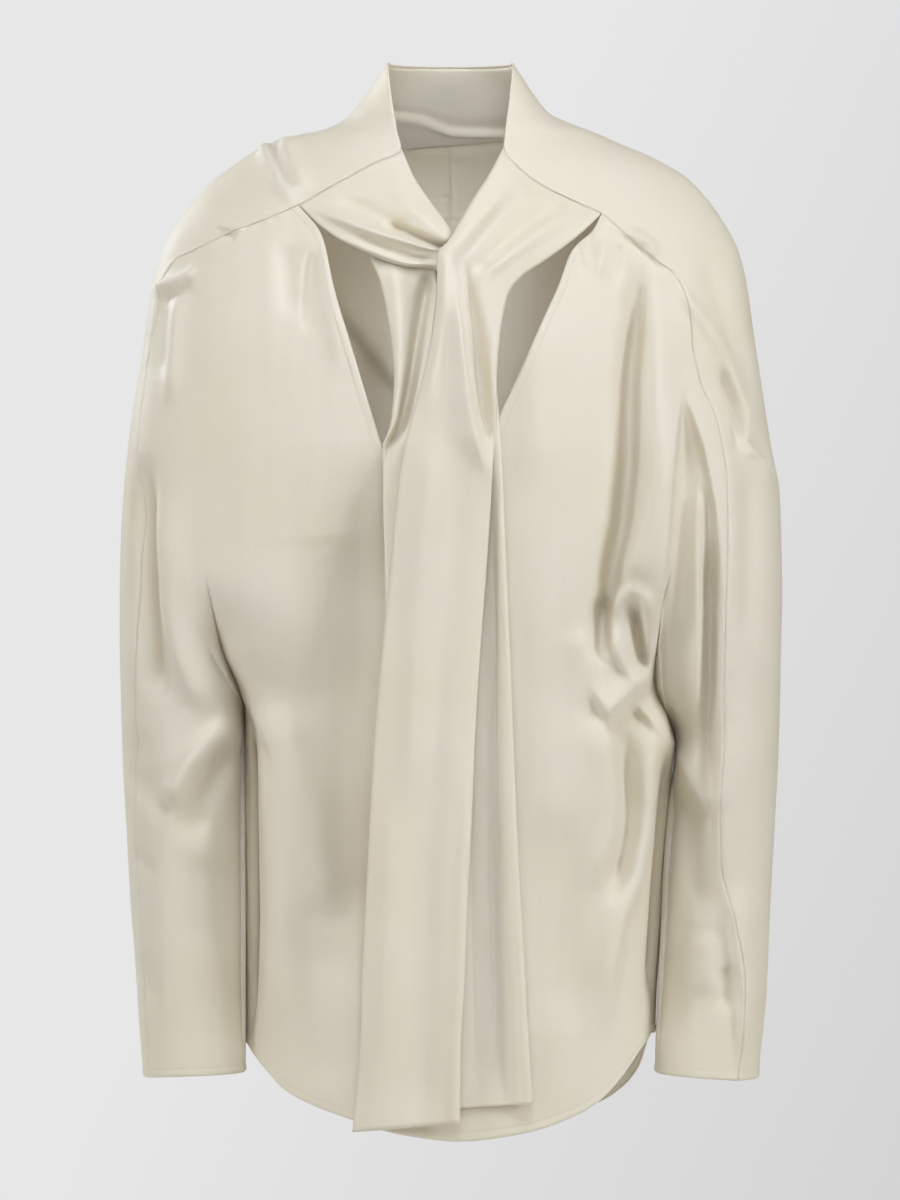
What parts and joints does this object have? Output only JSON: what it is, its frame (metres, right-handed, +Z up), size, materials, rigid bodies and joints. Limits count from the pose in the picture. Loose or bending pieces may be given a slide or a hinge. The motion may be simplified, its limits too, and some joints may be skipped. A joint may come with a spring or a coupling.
{
  "type": "blouse",
  "caption": "Long-sleeved dolman blouse with a stand collar, a V front and a wide tie that crosses at the neck and hangs to the shirt-tail hem.",
  "frame": {"origin": "middle of the neck at the shoulder line, where the wearer's neck holds the garment", "axes": "+Z up, -Y to the wearer's front, +X to the wearer's left"},
  "size_m": [0.4962, 0.251, 0.8034],
  "materials": {
    "cloth": "satin"
  },
  "bodies": {
    "root": {"front": "cloth", "back_right": "cloth", "back_left": "cloth", "tie_right": "cloth", "tie_left": "cloth", "tie_fold": "cloth", "neck_facing": "cloth"}
  },
  "joints": []
}
